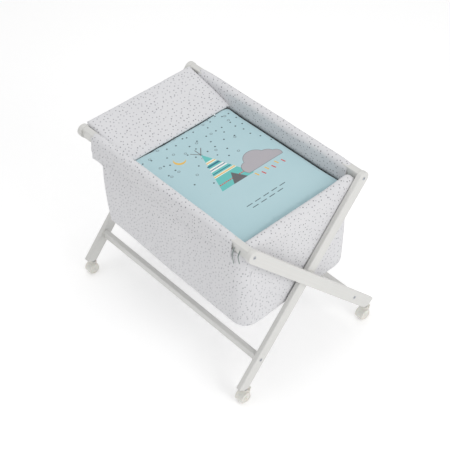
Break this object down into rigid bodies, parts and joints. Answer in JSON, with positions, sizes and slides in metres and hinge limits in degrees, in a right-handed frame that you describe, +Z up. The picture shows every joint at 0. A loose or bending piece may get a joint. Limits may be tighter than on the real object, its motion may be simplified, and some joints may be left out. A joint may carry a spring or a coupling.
{
  "type": "bassinet on stand",
  "caption": "Folding baby bassinet: a padded fabric basket hung from the rails of a scissor-leg wooden stand on casters, with mattress, quilt and turned-down head panel.",
  "frame": {"origin": "on the floor under the middle of the stand", "axes": "+X to the foot end, -Y to the near side, +Z up"},
  "size_m": [0.902, 0.6318, 0.6983],
  "materials": {
    "white_wood": "white satin lacquer",
    "bare_wood": "unfinished beech",
    "plywood": "unfinished plywood",
    "steel": "zinc plated",
    "brass": "plain",
    "caster_plastic": "cream, slightly glossy",
    "quilt_cloth": "soft printed cotton",
    "mattress_cloth": "quilted cotton",
    "duvet_cloth": "plain cotton",
    "dotted_cloth": "white cotton with small grey dots"
  },
  "bodies": {
    "pivot": {"pivot_bolt_foot": "steel", "pivot_bolt_head": "steel", "pivot_washer_foot": "steel", "pivot_washer_head": "steel"},
    "frame_a": {"leg_a_foot": "white_wood", "leg_a_head": "white_wood", "rail_near": "white_wood", "stretcher_far": "white_wood", "frame_a_bolts": "steel", "frame_a_barrel_nuts": "steel", "frame_a_dowels": "bare_wood", "pivot_insert_foot": "brass", "frame_a_stems": "steel", "sleeve_near": "dotted_cloth"},
    "frame_b": {"leg_b_foot": "white_wood", "leg_b_head": "white_wood", "rail_far": "white_wood", "stretcher_near": "white_wood", "frame_b_bolts": "steel", "frame_b_barrel_nuts": "steel", "frame_b_dowels": "bare_wood", "pivot_insert_head": "brass", "frame_b_stems": "steel", "sleeve_far": "dotted_cloth"},
    "basket": {"side_wall_near": "dotted_cloth", "side_wall_far": "dotted_cloth", "foot_wall": "dotted_cloth", "foot_roll": "dotted_cloth", "head_wall": "dotted_cloth", "head_roll": "dotted_cloth", "basket_floor": "dotted_cloth", "base_board": "plywood"},
    "mattress": {"mattress": "mattress_cloth"},
    "bedding": {"duvet": "duvet_cloth", "quilt": "quilt_cloth", "head_panel": "dotted_cloth"},
    "caster_near_foot": {"housing_near_foot": "caster_plastic"},
    "wheels_near_foot": {"wheels_near_foot": "caster_plastic", "axle_near_foot": "steel"},
    "caster_near_head": {"housing_near_head": "caster_plastic"},
    "wheels_near_head": {"wheels_near_head": "caster_plastic", "axle_near_head": "steel"},
    "caster_far_foot": {"housing_far_foot": "caster_plastic"},
    "wheels_far_foot": {"wheels_far_foot": "caster_plastic", "axle_far_foot": "steel"},
    "caster_far_head": {"housing_far_head": "caster_plastic"},
    "wheels_far_head": {"wheels_far_head": "caster_plastic", "axle_far_head": "steel"},
    "brake_near_foot": {"brake_near_foot": "caster_plastic"},
    "brake_far_foot": {"brake_far_foot": "caster_plastic"}
  },
  "joints": [
    {"name": "fold_a", "type": "hinge", "parent": "pivot", "child": "frame_a", "pos_m": [0, 0, 0.394], "axis": [-1, 0, 0], "range_deg": [0, 30], "deforming": ["foot_wall", "foot_roll", "head_wall", "head_roll", "head_panel"]},
    {"name": "fold_b", "type": "hinge", "parent": "pivot", "child": "frame_b", "pos_m": [0, 0, 0.394], "axis": [1, 0, 0], "range_deg": [0, 30]},
    {"name": "basket_rise", "type": "slide", "parent": "pivot", "child": "basket", "axis": [0, 0, 1], "range_m": [0, 0.088]},
    {"name": "mattress_lift", "type": "slide", "parent": "basket", "child": "mattress", "axis": [0, 0, 1], "range_m": [0, 0.42]},
    {"name": "bedding_lift", "type": "slide", "parent": "mattress", "child": "bedding", "axis": [0, 0, 1], "range_m": [0, 0.3]},
    {"name": "swivel_near_foot", "type": "hinge", "parent": "frame_b", "child": "caster_near_foot", "pos_m": [0.414, -0.284, 0.05], "axis": [0, 0, 1], "continuous": true},
    {"name": "spin_near_foot", "type": "hinge", "parent": "caster_near_foot", "child": "wheels_near_foot", "pos_m": [0.414, -0.292, 0.02], "axis": [1, 0, 0], "continuous": true},
    {"name": "swivel_near_head", "type": "hinge", "parent": "frame_b", "child": "caster_near_head", "pos_m": [-0.434, -0.284, 0.05], "axis": [0, 0, 1], "continuous": true},
    {"name": "spin_near_head", "type": "hinge", "parent": "caster_near_head", "child": "wheels_near_head", "pos_m": [-0.434, -0.292, 0.02], "axis": [1, 0, 0], "continuous": true},
    {"name": "swivel_far_foot", "type": "hinge", "parent": "frame_a", "child": "caster_far_foot", "pos_m": [0.434, 0.284, 0.05], "axis": [0, 0, 1], "continuous": true},
    {"name": "spin_far_foot", "type": "hinge", "parent": "caster_far_foot", "child": "wheels_far_foot", "pos_m": [0.434, 0.276, 0.02], "axis": [1, 0, 0], "continuous": true},
    {"name": "swivel_far_head", "type": "hinge", "parent": "frame_a", "child": "caster_far_head", "pos_m": [-0.414, 0.284, 0.05], "axis": [0, 0, 1], "continuous": true},
    {"name": "spin_far_head", "type": "hinge", "parent": "caster_far_head", "child": "wheels_far_head", "pos_m": [-0.414, 0.276, 0.02], "axis": [1, 0, 0], "continuous": true},
    {"name": "brake_near_foot", "type": "hinge", "parent": "caster_near_foot", "child": "brake_near_foot", "pos_m": [0.414, -0.27, 0.036], "axis": [-1, 0, 0], "range_deg": [0, 25]},
    {"name": "brake_far_foot", "type": "hinge", "parent": "caster_far_foot", "child": "brake_far_foot", "pos_m": [0.434, 0.298, 0.036], "axis": [-1, 0, 0], "range_deg": [0, 25]}
  ],
  "couplings": [
    {"joint": "fold_b", "follows": "fold_a", "ratio": 1},
    {"joint": "basket_rise", "follows": "fold_a", "m_per_rad": 0.1667}
  ]
}
